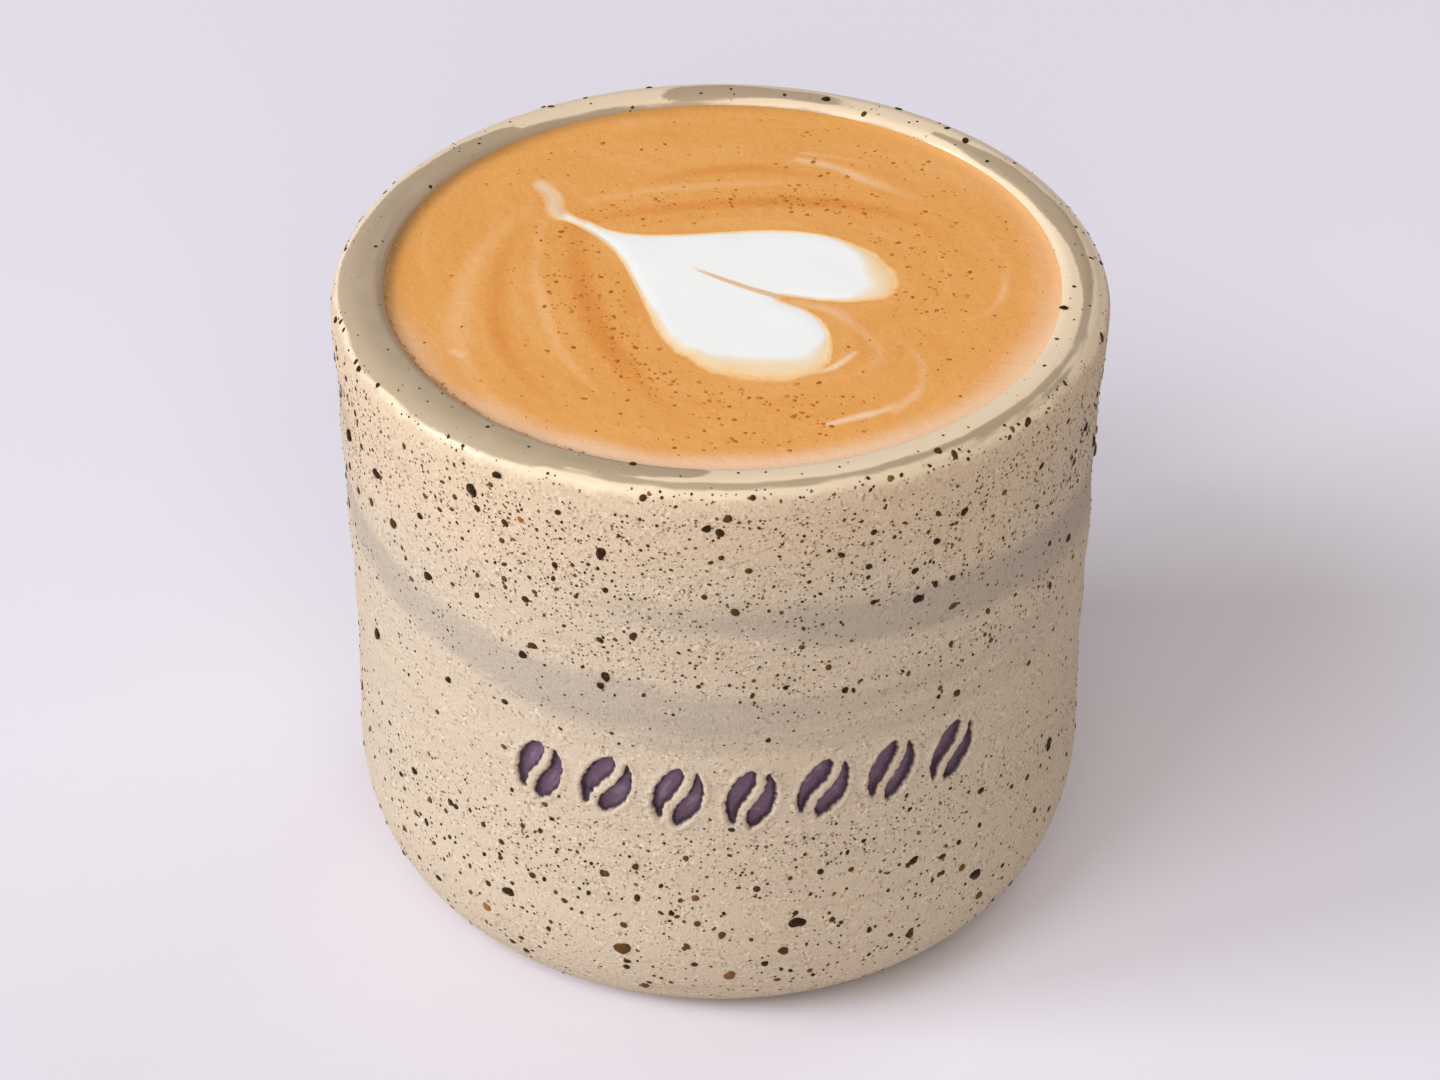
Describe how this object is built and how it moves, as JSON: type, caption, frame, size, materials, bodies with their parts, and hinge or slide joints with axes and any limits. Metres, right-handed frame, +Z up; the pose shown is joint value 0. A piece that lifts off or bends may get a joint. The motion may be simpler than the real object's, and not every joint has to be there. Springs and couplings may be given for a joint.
{
  "type": "latte",
  "caption": "Latte with a milk-foam heart in a handleless speckled stoneware cup, its front stamped with a row of coffee beans.",
  "frame": {"origin": "middle of the cup's foot, on the surface it stands on", "axes": "+Z up through the cup; -Y towards the front with the stamped row; +X to the right of that front"},
  "size_m": [0.086, 0.086, 0.0765],
  "materials": {
    "cup": "matt speckled stoneware with a glossy lip",
    "drink": "glossy golden-brown crema",
    "milk_heart": "satin white microfoam"
  },
  "bodies": {
    "root": {"cup": "cup", "drink": "drink", "milk_heart": "milk_heart"}
  },
  "joints": []
}
